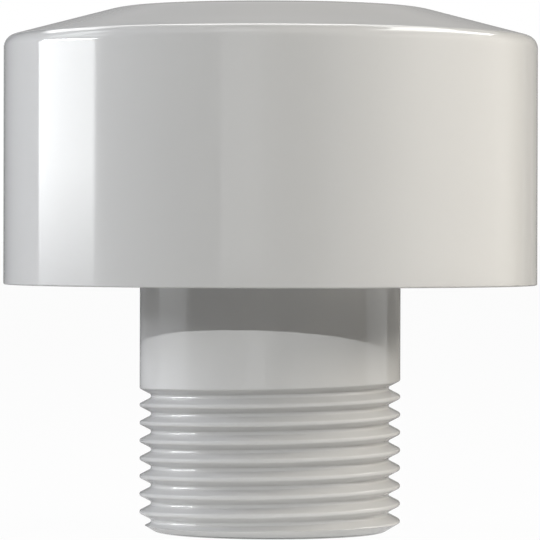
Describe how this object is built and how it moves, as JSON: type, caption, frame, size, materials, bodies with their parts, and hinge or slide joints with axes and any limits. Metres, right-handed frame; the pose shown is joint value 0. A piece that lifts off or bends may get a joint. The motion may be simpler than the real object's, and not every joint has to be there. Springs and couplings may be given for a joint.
{
  "type": "air admittance valve",
  "caption": "Mushroom-shaped air inlet valve for a drain pipe: wide glossy cap over a threaded neck, with a membrane that lifts to let air in.",
  "frame": {"origin": "centre of the neck's open lower end", "axes": "+Z along the neck's axis, from the open end up to the cap's crown; -Y is the front"},
  "size_m": [0.0988, 0.0988, 0.097],
  "materials": {
    "body_plastic": "smooth glossy off-white moulded plastic",
    "screen_plastic": "matt grey moulded plastic",
    "carrier_plastic": "satin white moulded plastic",
    "seal_rubber": "soft matt elastomer"
  },
  "bodies": {
    "housing": {"cap": "body_plastic", "valve_body": "body_plastic", "intake_screen": "screen_plastic", "bore_screen": "screen_plastic"},
    "membrane": {"membrane_carrier": "carrier_plastic", "membrane_seal": "seal_rubber"}
  },
  "joints": [
    {"name": "membrane_lift", "type": "slide", "parent": "housing", "child": "membrane", "axis": [0, 0, 1], "range_m": [0, 0.007]}
  ]
}
